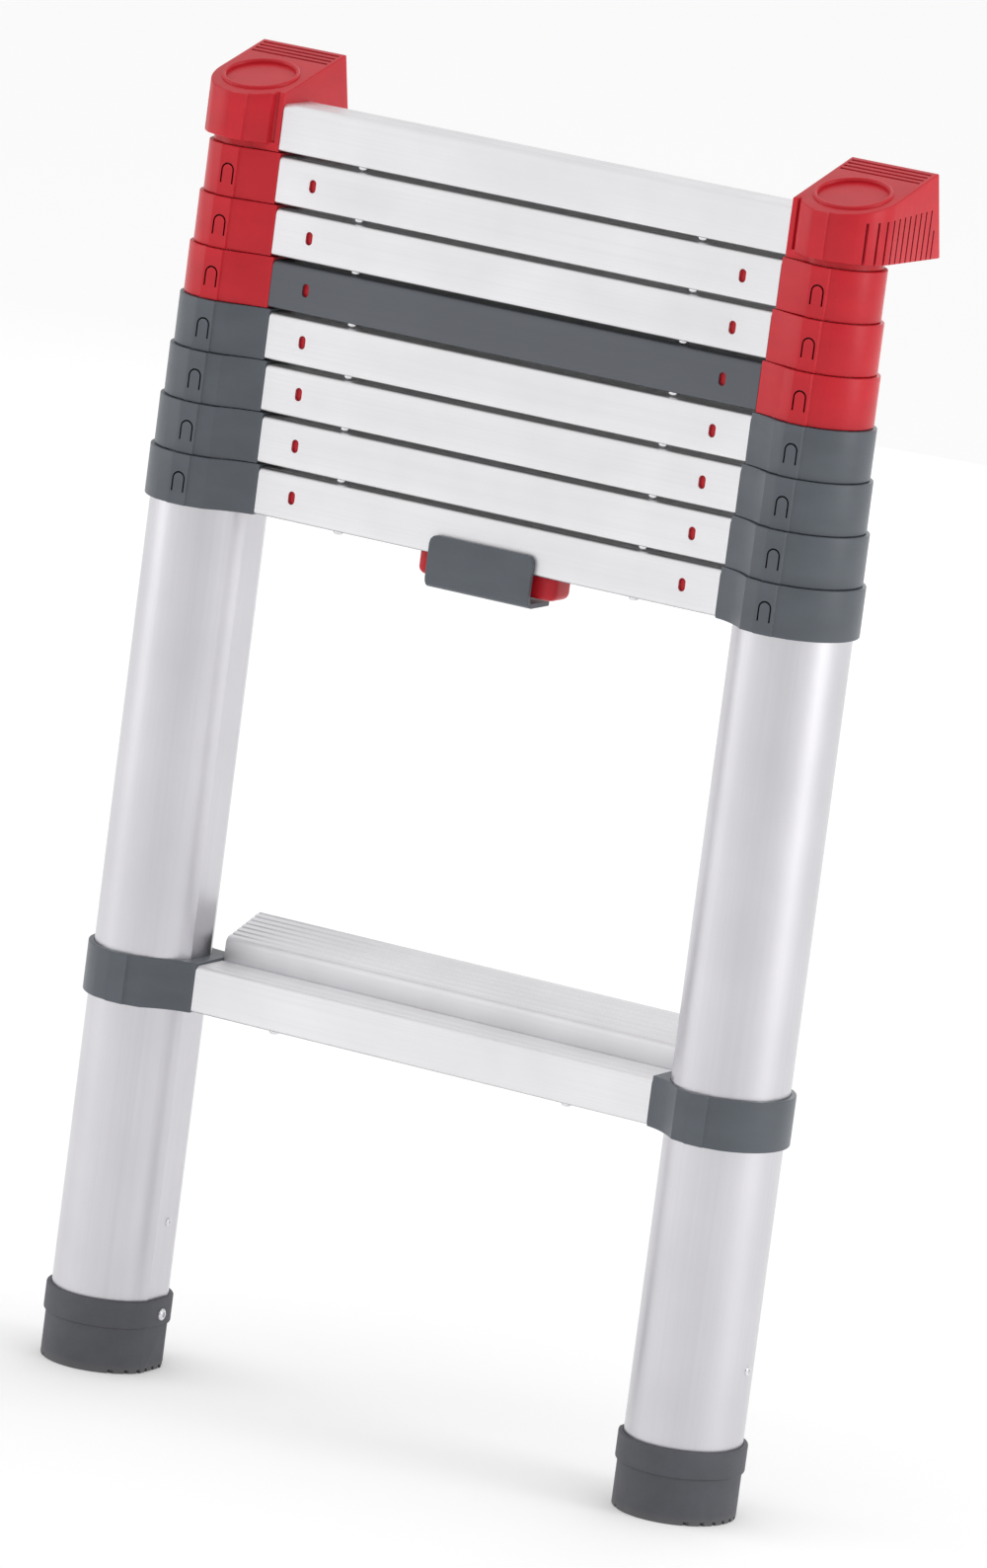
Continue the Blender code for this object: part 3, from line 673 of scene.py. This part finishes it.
# ---- tubes -----------------------------------------------------------------------------------
def make_tube(number, side):
    name = f"stile_tube_{number}_{side_name(side)}"
    low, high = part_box(name)
    inset = size_inset(number)
    outside = tube_outline(-inset)
    inside = tube_outline(-inset - TUBE_WALL)
    rings = [
        ring(side, outside, low.z),
        ring(side, outside, high.z),
        ring(side, inside, high.z),
        ring(side, inside, low.z),
    ]
    tube = skin(f"{name}_body", rings, "tube", closed=True, smooth_angle=TUBE_SMOOTH)
    if number < SECTIONS:
        flat = side * (STILE_X - FLAT + inset)
        place = Vector((flat - side * HOLE_CUT_START, STILE_Y, low.z + HOLE_ABOVE_END))
        profile = [(HOLE_RADIUS, 0), (HOLE_RADIUS, CUT_REACH)]
        hole = lathe("cut_hole", place, Vector((side, 0, 0)), profile, "grey")
        cut(tube, [hole], TUBE_SMOOTH)
    attach(tube, f"section_{number}", name)


# ---- collars ---------------------------------------------------------------------------------
def slit_cutter(side, grow, top):
    """The thin cut round three sides of the spring tongue on a collar's front."""
    arch = top - SLIT_TOP - SLIT_HALF - SLIT_WIDTH / 2
    foot = top - SLIT_BOTTOM
    outline = []
    for reach, order in ((SLIT_HALF + SLIT_WIDTH / 2, 1), (SLIT_HALF - SLIT_WIDTH / 2, -1)):
        line = [(-reach, foot)]
        for step in range(SLIT_STEPS + 1):
            angle = math.pi - math.pi * step / SLIT_STEPS
            line.append((reach * math.cos(angle), arch + reach * math.sin(angle)))
        line.append((reach, foot))
        outline += line[::order]
    front = front_of(grow, 0.0)
    rings = []
    for v in (front - CUT_MARGIN, front + SLIT_DEPTH):
        rings.append([Vector((side * (STILE_X + u), STILE_Y + v, z)) for u, z in outline])
    return skin("cut_slit", rings, "grey")


def collar_rings(side, outline_of, bore_grow, low, high):
    """Rings of a collar with rounded outer edges, from its bore round the outside and back."""
    inner = seen_through(outline_of(0.0), bore_grow)
    rings = [ring(side, inner, low)]
    for inset, drop in reversed(rounding(COLLAR_EDGE)):
        rings.append(ring(side, outline_of(inset), low + drop))
    for inset, drop in rounding(COLLAR_EDGE):
        rings.append(ring(side, outline_of(inset), high - drop))
    rings.append(ring(side, inner, high))
    return rings


def make_collar(number, side):
    name = f"collar_{number}_{side_name(side)}"
    low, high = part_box(name)
    ear_u = min(abs(low.x), abs(high.x)) - STILE_X
    grow = COLLAR_GROW - size_inset(number)
    bore_grow = FIT - size_inset(number - 1)

    def outline_of(inset):
        return collar_outline(grow - inset, ear_u + inset, rung_back - inset, EAR_ARC_END)

    rings = collar_rings(side, outline_of, bore_grow, low.z, high.z)
    finish = "red" if number <= LAST_RED_COLLAR else "grey"
    collar = skin(f"{name}_body", rings, finish, closed=True, smooth_angle=MOULDED_SMOOTH)
    cut(collar, [slit_cutter(side, grow, high.z)], MOULDED_SMOOTH)
    attach(collar, f"section_{number}", name)


def make_mid_collar(side):
    name = f"mid_collar_{side_name(side)}"
    low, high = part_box(name)
    ear_u = min(abs(low.x), abs(high.x)) - STILE_X

    def outline_of(inset):
        back = rung_back + MID_EAR_REACH - inset
        return collar_outline(COLLAR_GROW - inset, ear_u + inset, back, MID_EAR_ARC_END)

    rings = collar_rings(side, outline_of, FIT, low.z, high.z)
    collar = skin(f"{name}_body", rings, "grey", closed=True, smooth_angle=MOULDED_SMOOTH)
    attach(collar, f"section_{SECTIONS}", name)


# ---- end caps --------------------------------------------------------------------------------
cap_low, cap_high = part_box("end_cap_right")
cap_inner = cap_low.x - STILE_X
cap_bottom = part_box("rung_1")[0].z + CAP_ABOVE_RUNG


def cap_height(v):
    """Height of the cap's sloping top."""
    return cap_high.z + (v - CAP_TOP_REAR) * math.tan(USE_ANGLE)


def cap_rear(z):
    """How far back the wall face is at a height."""
    return CAP_TOP_REAR + (cap_height(CAP_TOP_REAR) - z) * math.tan(USE_ANGLE)


def cap_outline(inset, rear):
    """The cap: a hollow beside the rung, a raised strip and facets in front, straight sides."""
    grow = CAP_GROW - size_inset(1)
    wide = HALF_WIDTH + grow
    edge = rung_front - CAP_EAR
    points = [(cap_inner + inset, edge + inset)]
    for u, sink in CAP_HOLLOW:
        points.append((u, edge + sink + inset))
    for u, sink in CAP_FRONT:
        points.append((u, front_of(grow, u) + sink + inset))
    turn = -math.degrees(math.acos(CAP_FRONT[-1][0] / wide))
    for u, v in arc(grow, turn, 0, CAP_ARC_STEPS)[1:]:
        points.append((u - inset * u / wide, v + inset * max(0.0, -v / (HALF_DEPTH + grow))))
    front_inner = Vector(points[0])
    rear_outer = Vector((wide - inset, rear - inset))
    rear_inner = Vector((cap_inner + inset, rear - inset))
    points += straight(Vector(points[-1]), rear_outer, CAP_SIDE_STEPS)
    points += straight(rear_outer, rear_inner, CAP_REAR_STEPS)
    points += straight(rear_inner, front_inner, CAP_REAR_STEPS)[:-1]
    return points


def cap_slots(side):
    """Cutters for the upright slots on the outer side."""
    grow = CAP_GROW - size_inset(1)
    cutters = []
    places = [(CAP_SLOT_LAST - index * CAP_SLOT_PITCH, CAP_SLOT_TOP) for index in range(CAP_SLOTS)]
    places.append((CAP_SHORT_SLOT, CAP_SHORT_SLOT_TOP))
    for index, (v, drop) in enumerate(places):
        reach = min(0.0, v) / (HALF_DEPTH + grow)
        surface = (HALF_WIDTH + grow) * math.sqrt(1 - reach ** 2)
        top = cap_height(0.0) + CAP_SLOT_FRONT_SLOPE * min(v, 0.0) - drop
        if 0 < v < CAP_SHORT_SLOT:
            top += CAP_SLOT_BACK_RISE * v / CAP_SLOT_LAST
        depth = (surface - CAP_SLOT_DEPTH, surface + CUT_REACH)
        width = (v - CAP_SLOT_WIDTH / 2, v + CAP_SLOT_WIDTH / 2)
        height = (cap_bottom - CUT_MARGIN, top)
        cutters.append(box_cutter(f"cut_slot_{index}", depth, width, height, side))
    return cutters


def cap_lines(side):
    """Cutters for the grooves across the rear of the top."""
    cutters = []
    length = (cap_inner + CAP_LINE_INSET, CAP_LINE_END)
    for index in range(CAP_LINES):
        v = CAP_LINE_FIRST - index * CAP_LINE_PITCH
        bottom = cap_height(v) - CAP_LINE_DEPTH
        width = (v - CAP_LINE_WIDTH / 2, v + CAP_LINE_WIDTH / 2)
        height = (bottom, bottom + CUT_REACH)
        cutters.append(box_cutter(f"cut_line_{index}", length, width, height, side))
    return cutters


def cap_ring_place(side):
    """Middle of the ring on the cap's top, and the way the top faces."""
    place = Vector((side * (STILE_X + CAP_RING_U), STILE_Y + CAP_RING_V, cap_height(CAP_RING_V)))
    return place, Vector((0, -math.sin(USE_ANGLE), math.cos(USE_ANGLE)))


def cap_recess(side):
    """Cutter for the shallow recess inside the ring."""
    place, up = cap_ring_place(side)
    radius = CAP_RING_RADIUS - CAP_RING_BEAD / 2
    profile = [(radius, -CAP_RECESS_DEPTH), (radius, CUT_REACH)]
    return lathe("cut_recess", place, up, profile, "grey", ROUND_STEPS)


def make_cap_ear(side, low):
    """The part of the cap's neck that reaches to the end of rung 1."""
    outline = [(cap_inner, rung_back)]
    neck = arc(NECK_GROW - size_inset(1) - FIT, *CAP_EAR_ARC, 1)[0]
    inside = arc(FIT - size_inset(1), CAP_EAR_ARC[1], CAP_EAR_ARC[0], CAP_EAR_STEPS)
    inner = -(FLAT + FIT - size_inset(1))
    outline += [(inner, rung_back), (inner, inside[0][1])] + inside + [neck, (cap_inner, rung_front)]
    rings = [ring(side, outline, low), ring(side, outline, cap_bottom + CAP_EDGE)]
    attach(skin(f"cap_ear_{side_name(side)}", rings, "red"), "section_1")


def make_cap_ring(side):
    """The raised ring on the cap's top."""
    bead = []
    for step in range(BEAD_STEPS + 1):
        angle = math.pi - math.pi * step / BEAD_STEPS
        radius = CAP_RING_RADIUS + CAP_RING_BEAD * math.cos(angle)
        bead.append((radius, CAP_RING_HEIGHT * math.sin(angle)))
    bead.append((CAP_RING_RADIUS + CAP_RING_BEAD, -CAP_RING_SINK))
    bead.append((CAP_RING_RADIUS - CAP_RING_BEAD, -CAP_RING_SINK))
    place, up = cap_ring_place(side)
    bead_ring = lathe(f"cap_ring_{side_name(side)}", place, up, bead, "red", ROUND_STEPS, closed=True)
    attach(bead_ring, "section_1")


def make_end_cap(side):
    name = f"end_cap_{side_name(side)}"
    neck_low = cap_low.z
    roof = cap_height(0.0) - CAP_ROOF
    around = cap_outline(0.0, cap_rear(cap_bottom))
    neck = seen_through(around, NECK_GROW - size_inset(1))
    bore = seen_through(around, FIT - size_inset(1))
    rings = []
    for inset, drop in reversed(rounding(CAP_EDGE)):
        points = []
        for u, v in cap_outline(inset, CAP_TOP_REAR):
            points.append(Vector((side * (STILE_X + u), STILE_Y + v, cap_height(v) - drop)))
        rings.append(points)
    for inset, drop in rounding(CAP_EDGE):
        rings.append(ring(side, cap_outline(inset, cap_rear(cap_bottom)), cap_bottom + drop))
    rings += [ring(side, neck, cap_bottom), ring(side, neck, neck_low)]
    rings += [ring(side, bore, neck_low), ring(side, bore, roof)]
    make_cap_ear(side, neck_low)
    cap = skin(f"{name}_body", rings, "red", smooth_angle=MOULDED_SMOOTH)
    cut(cap, cap_slots(side) + cap_lines(side) + [cap_recess(side)], MOULDED_SMOOTH)
    attach(cap, "section_1", name)
    make_cap_ring(side)


# ---- feet ------------------------------------------------------------------------------------
def sole_cutters(side):
    """The slope under the heel and the grooves across the sole."""
    reach = HALF_WIDTH + CUT_REACH
    back = HALF_DEPTH + CUT_REACH
    rise = (back - HEEL_START) * math.tan(HEEL_ANGLE)
    outline = ((HEEL_START, 0), (back, rise), (back, -CUT_REACH), (HEEL_START, -CUT_REACH))
    rings = []
    for u in (-reach, reach):
        rings.append([Vector((side * STILE_X + u, STILE_Y + v, z)) for v, z in outline])
    cutters = [skin("cut_heel", rings, "grey")]
    for index in range(SOLE_GROOVES):
        v = SOLE_GROOVE_FIRST + index * SOLE_GROOVE_PITCH
        depth = SOLE_GROOVE_DEPTH + max(0.0, v - HEEL_START) * math.tan(HEEL_ANGLE)
        width = (v - SOLE_GROOVE_WIDTH / 2, v + SOLE_GROOVE_WIDTH / 2)
        height = (-CUT_MARGIN, depth)
        cutters.append(box_cutter(f"cut_groove_{index}", (-reach, reach), width, height, side))
    return cutters


def make_foot_fasteners(side):
    """The foot's screw, and the heads of the rivet above it."""
    body = f"section_{SECTIONS}"
    inward = Vector((-side, 0, 0))
    v, z = FOOT_SCREW
    place = Vector((side * (STILE_X - FLAT - RIM_GROW), STILE_Y + v, z))
    name = f"foot_screw_{side_name(side)}"
    attach(make_screw(name, place, inward, FOOT_SCREW_RADIUS, SCREW_HEIGHT), body)
    v, z = RIVET
    for words, u, axis in (("inner", -FLAT, inward), ("outer", HALF_WIDTH, -inward)):
        place = Vector((side * (STILE_X + u), STILE_Y + v, z))
        name = f"stile_rivet_{words}_{side_name(side)}"
        attach(make_screw(name, place, axis, RIVET_RADIUS, RIVET_HEIGHT), body)


def make_foot(side):
    name = f"foot_{side_name(side)}"
    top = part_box(name)[1].z
    tube_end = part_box(f"stile_tube_8_{side_name(side)}")[0].z - FIT
    rings = []
    for inset, drop in reversed(rounding(SOLE_EDGE)):
        rings.append(ring(side, tube_outline(FOOT_GROW - inset), drop))
    rings.append(ring(side, tube_outline(FOOT_GROW), RIM_LOW - RIM_LEDGE))
    for inset, drop in reversed(rounding(RIM_EDGE)):
        rings.append(ring(side, tube_outline(RIM_GROW - inset), RIM_LOW + drop))
    for inset, drop in rounding(RIM_EDGE):
        rings.append(ring(side, tube_outline(RIM_GROW - inset), top - drop))
    rings.append(ring(side, tube_outline(FIT), top))
    rings.append(ring(side, tube_outline(FIT), tube_end))
    foot = skin(f"{name}_body", rings, "rubber", smooth_angle=FOOT_SMOOTH)
    cut(foot, sole_cutters(side), FOOT_SMOOTH)
    attach(foot, f"section_{SECTIONS}", name)
    make_foot_fasteners(side)


# ---- bottom step -----------------------------------------------------------------------------
def make_rear_tread():
    low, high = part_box("rear_tread")
    front = low.y - STILE_Y
    back = high.y - STILE_Y
    edge = TREAD_EDGE
    back_edge = TREAD_BACK_EDGE
    slope = TREAD_RISE / (back - back_edge - front)

    def top(v):
        return high.z - TREAD_RISE + (v - front) * slope

    points = corner((front + RUNG_EDGE, low.z + RUNG_EDGE), RUNG_EDGE, 180)
    points += corner((back - edge, low.z + edge), edge, 270)
    points += corner((back - back_edge, high.z - back_edge), back_edge, 0)
    for index in reversed(range(TREAD_GROOVES)):
        v = front + TREAD_GROOVE_FIRST + index * TREAD_GROOVE_PITCH
        for shift, sink in ((TREAD_GROOVE_HALF, 0.0), (0.0, TREAD_GROOVE_DEPTH), (-TREAD_GROOVE_HALF, 0.0)):
            points.append((v + shift, top(v + shift) - sink))
    points += corner((front + edge, top(front + edge) - edge), edge, 90)
    inner = [
        (front + TREAD_WALL, low.z + TREAD_WALL),
        (back - TREAD_WALL, low.z + TREAD_WALL),
        (back - TREAD_WALL, high.z - back_edge),
        (back - back_edge, high.z - 2 * TREAD_WALL),
        (front + TREAD_WALL, top(front) - 2 * TREAD_WALL),
    ]
    tread = hollow_profile("rear_tread_body", points, inner, high.x, "rung")
    attach(tread, f"section_{SECTIONS}", "rear_tread")


# ---- release ---------------------------------------------------------------------------------
def keep_node(name, finish, edge=0.0):
    """Show a CAD node with its finish, and soften its edges if asked."""
    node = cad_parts[name]
    node.data.materials.clear()
    node.data.materials.append(finishes[finish])
    if edge:
        weld = node.modifiers.new("Join split corners", "WELD")
        weld.merge_threshold = WELD_DISTANCE
        soften = node.modifiers.new("Soft edges", "BEVEL")
        soften.width = edge
        soften.segments = 3
        soften.limit_method = "ANGLE"
        soften.angle_limit = math.radians(GUARD_EDGE_ANGLE)


def make_release_block():
    """The release: a bar with round ends and a rounded underside."""
    low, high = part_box("release_block")
    turn = RELEASE_CORNER
    corner_steps, under_steps, top_steps = RELEASE_STEPS
    middles = (
        ((high.x - turn, high.y - turn), 0),
        ((low.x + turn, high.y - turn), 90),
        ((low.x + turn, low.y + turn), 180),
        ((high.x - turn, low.y + turn), 270),
    )

    def outline_of(inset):
        points = []
        for middle, start in middles:
            points += corner(middle, turn - inset, start, corner_steps)
        return points

    rings = []
    for inset, drop in reversed(rounding(RELEASE_UNDER_EDGE, under_steps)):
        rings.append([Vector((x, y, low.z + drop)) for x, y in outline_of(inset)])
    for inset, drop in rounding(RELEASE_TOP_EDGE, top_steps):
        rings.append([Vector((x, y, high.z - drop)) for x, y in outline_of(inset)])
    attach(skin("release_block_body", rings, "red"), "release", "release_block")


def make_rung_2_bolts():
    """Rung 2's bolts, like rung 3's but further out and higher."""
    shift_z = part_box("rung_2")[0].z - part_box("rung_3")[0].z
    shift_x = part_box("rung_2")[1].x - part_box("rung_3")[1].x
    for side in (-1, 1):
        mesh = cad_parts[f"lock_bolt_3_{side_name(side)}"].data.copy()
        mesh.transform(Matrix.Translation((side * shift_x, 0, shift_z)))
        bolt = bpy.data.objects.new(f"lock_bolt_2_{side_name(side)}", mesh)
        bpy.context.scene.collection.objects.link(bolt)
        mesh.materials.clear()
        mesh.materials.append(finishes["red"])
        attach(bolt, "section_2")


# ---- studio ----------------------------------------------------------------------------------
CAMERA_TARGET = (0.02612, -0.01890 + STILE_Y, 0.39235)
CAMERA_DISTANCE = 6.547
CAMERA_AZIMUTH = math.radians(27.926)
CAMERA_ELEVATION = math.radians(10.712)
CAMERA_ROLL = math.radians(7.486)
SENSOR = 36.0
VIEW_HEIGHT = math.radians(7.803)
CLIP_END = 200.0
ROOM_PEAK = 2.0
ROOM_WALLS = (      # azimuth in degrees, level
    (-180, 1.3), (-128, 0.2), (-66, 1.5), (-8, 0.7), (42, 0.0), (90, 1.6), (146, 0.1), (180, 1.3),
)
WALL_TOP = math.radians(20.0)
CEILING_START = math.radians(50.0)
CEILING_LEVEL = 0.95
FLOOR_GLOW = 0.10
FLOOR_REACH = 60.0
FLOOR_CLOUDS = (0.5, 0.5, 0.5)
FLOOR_TONES = ((0.93, 0.93, 0.93), (0.95, 0.95, 0.95))
FLOOR_ROUGHNESS = 0.9
LIGHT_DISTANCE = 3.6
LIGHT_TARGET = (0, 0, 0.4)
SOFT_BOXES = (      # name, azimuth in degrees, height, size, watts
    ("key", 96, 1.5, (1.4, 2.6), 32.0),
    ("fill", -66, 1.2, (1.6, 2.4), 13.0),
    ("back", -168, 1.2, (1.6, 2.4), 9.0),
)


def make_camera():
    data = bpy.data.cameras.new("camera")
    data.sensor_width = SENSOR
    data.lens = SENSOR / 2 / math.tan(VIEW_HEIGHT / 2)
    data.clip_end = CLIP_END
    camera = bpy.data.objects.new("camera", data)
    bpy.context.scene.collection.objects.link(camera)
    turn = Matrix.Rotation(CAMERA_AZIMUTH, 4, "Z") @ Matrix.Rotation(math.pi / 2 - CAMERA_ELEVATION, 4, "X")
    turn = turn @ Matrix.Rotation(CAMERA_ROLL, 4, "Z")
    back = turn @ Vector((0, 0, 1))
    camera.matrix_world = Matrix.Translation(Vector(CAMERA_TARGET) + CAMERA_DISTANCE * back) @ turn
    bpy.context.scene.camera = camera


def make_floor():
    mesh = bpy.data.meshes.new("floor")
    corners = [(x * FLOOR_REACH, y * FLOOR_REACH, 0) for x, y in ((-1, -1), (1, -1), (1, 1), (-1, 1))]
    mesh.from_pydata(corners, [], [(0, 1, 2, 3)])
    floor = bpy.data.objects.new("floor", mesh)
    bpy.context.scene.collection.objects.link(floor)
    paint = Painter("floor_pale", 0.0)
    tone = paint.blend(paint.noise(FLOOR_CLOUDS), *FLOOR_TONES)
    paint.link(tone, paint.shader.inputs["Base Color"])
    paint.shader.inputs["Roughness"].default_value = FLOOR_ROUGHNESS
    paint.shader.inputs["Specular IOR Level"].default_value = 0.0
    paint.shader.inputs["Emission Color"].default_value = (1.0, 1.0, 1.0, 1.0)
    paint.shader.inputs["Emission Strength"].default_value = FLOOR_GLOW
    mesh.materials.append(paint.material)


def make_light(name, place, size, watts):
    data = bpy.data.lights.new(name, "AREA")
    data.shape = "RECTANGLE"
    data.size, data.size_y = size
    data.energy = watts
    light = bpy.data.objects.new(name, data)
    bpy.context.scene.collection.objects.link(light)
    light.location = place
    light.rotation_mode = "QUATERNION"
    aim = Vector(LIGHT_TARGET) - Vector(place)
    light.rotation_quaternion = aim.to_track_quat("-Z", "Y")


def world_direction(azimuth):
    """A level direction, its azimuth turned from -Y towards +X."""
    return (math.sin(azimuth), -math.cos(azimuth), 0.0)


def calculate(tree, operation, first, second):
    """A Math node on two values, each of them a socket or a number."""
    node = tree.nodes.new("ShaderNodeMath")
    node.operation = operation
    for value, socket in zip((first, second), node.inputs):
        if isinstance(value, float):
            socket.default_value = value
        else:
            tree.links.new(value, socket)
    return node.outputs[0]


def wall_levels(tree, split):
    """Brightness of the room's walls, as a share of the peak, changing with the azimuth."""
    forward = calculate(tree, "MULTIPLY", split.outputs["Y"], -1.0)
    azimuth = calculate(tree, "ARCTAN2", split.outputs["X"], forward)
    turn = tree.nodes.new("ShaderNodeMapRange")
    turn.inputs["From Min"].default_value = -math.pi
    turn.inputs["From Max"].default_value = math.pi
    tree.links.new(azimuth, turn.inputs["Value"])
    walls = tree.nodes.new("ShaderNodeValToRGB")
    walls.color_ramp.interpolation = "B_SPLINE"
    stops = walls.color_ramp.elements
    while len(stops) < len(ROOM_WALLS):
        stops.new(0.5)
    for stop, (degrees, level) in zip(stops, ROOM_WALLS):
        share = level / ROOM_PEAK
        stop.position = (degrees + 180) / 360
        stop.color = (share, share, share, 1.0)
    tree.links.new(turn.outputs["Result"], walls.inputs["Fac"])
    return walls.outputs["Color"]


def make_room(tree):
    """Brightness of the room: changing with the azimuth low down, even overhead."""
    direction = tree.nodes.new("ShaderNodeTexCoord").outputs["Generated"]
    split = tree.nodes.new("ShaderNodeSeparateXYZ")
    tree.links.new(direction, split.inputs["Vector"])
    height = tree.nodes.new("ShaderNodeMapRange")
    height.interpolation_type = "SMOOTHSTEP"
    height.inputs["From Min"].default_value = math.sin(WALL_TOP)
    height.inputs["From Max"].default_value = math.sin(CEILING_START)
    tree.links.new(split.outputs["Z"], height.inputs["Value"])
    mix = tree.nodes.new("ShaderNodeMix")
    mix.data_type = "FLOAT"
    tree.links.new(height.outputs["Result"], mix.inputs["Factor"])
    tree.links.new(wall_levels(tree, split), mix.inputs[2])
    mix.inputs[3].default_value = CEILING_LEVEL / ROOM_PEAK
    return calculate(tree, "MULTIPLY", mix.outputs[0], ROOM_PEAK)


def make_studio():
    """A white room with soft boxes round the ladder."""
    world = bpy.data.worlds.new("studio")
    bpy.context.scene.world = world
    world.use_nodes = True
    background = world.node_tree.nodes["Background"]
    background.inputs["Color"].default_value = (1.0, 1.0, 1.0, 1.0)
    world.node_tree.links.new(make_room(world.node_tree), background.inputs["Strength"])
    for name, azimuth, height, size, watts in SOFT_BOXES:
        place = LIGHT_DISTANCE * Vector(world_direction(math.radians(azimuth))) + Vector((0, 0, height))
        make_light(name, place, size, watts)
    bpy.context.scene.view_settings.view_transform = "Standard"


# ---- assembly --------------------------------------------------------------------------------
make_camera()
make_studio()
make_floor()
for number in range(1, SECTIONS + 2):
    make_rung(number)
for side in (-1, 1):
    for number in range(1, SECTIONS + 1):
        make_tube(number, side)
    for number in range(2, SECTIONS + 1):
        make_collar(number, side)
    for number in range(3, SECTIONS + 1):
        keep_node(f"lock_bolt_{number}_{side_name(side)}", "red")
    make_mid_collar(side)
    make_end_cap(side)
    make_foot(side)
make_rear_tread()
make_release_block()
keep_node("release_guard", "grey", GUARD_EDGE)
make_rung_2_bolts()
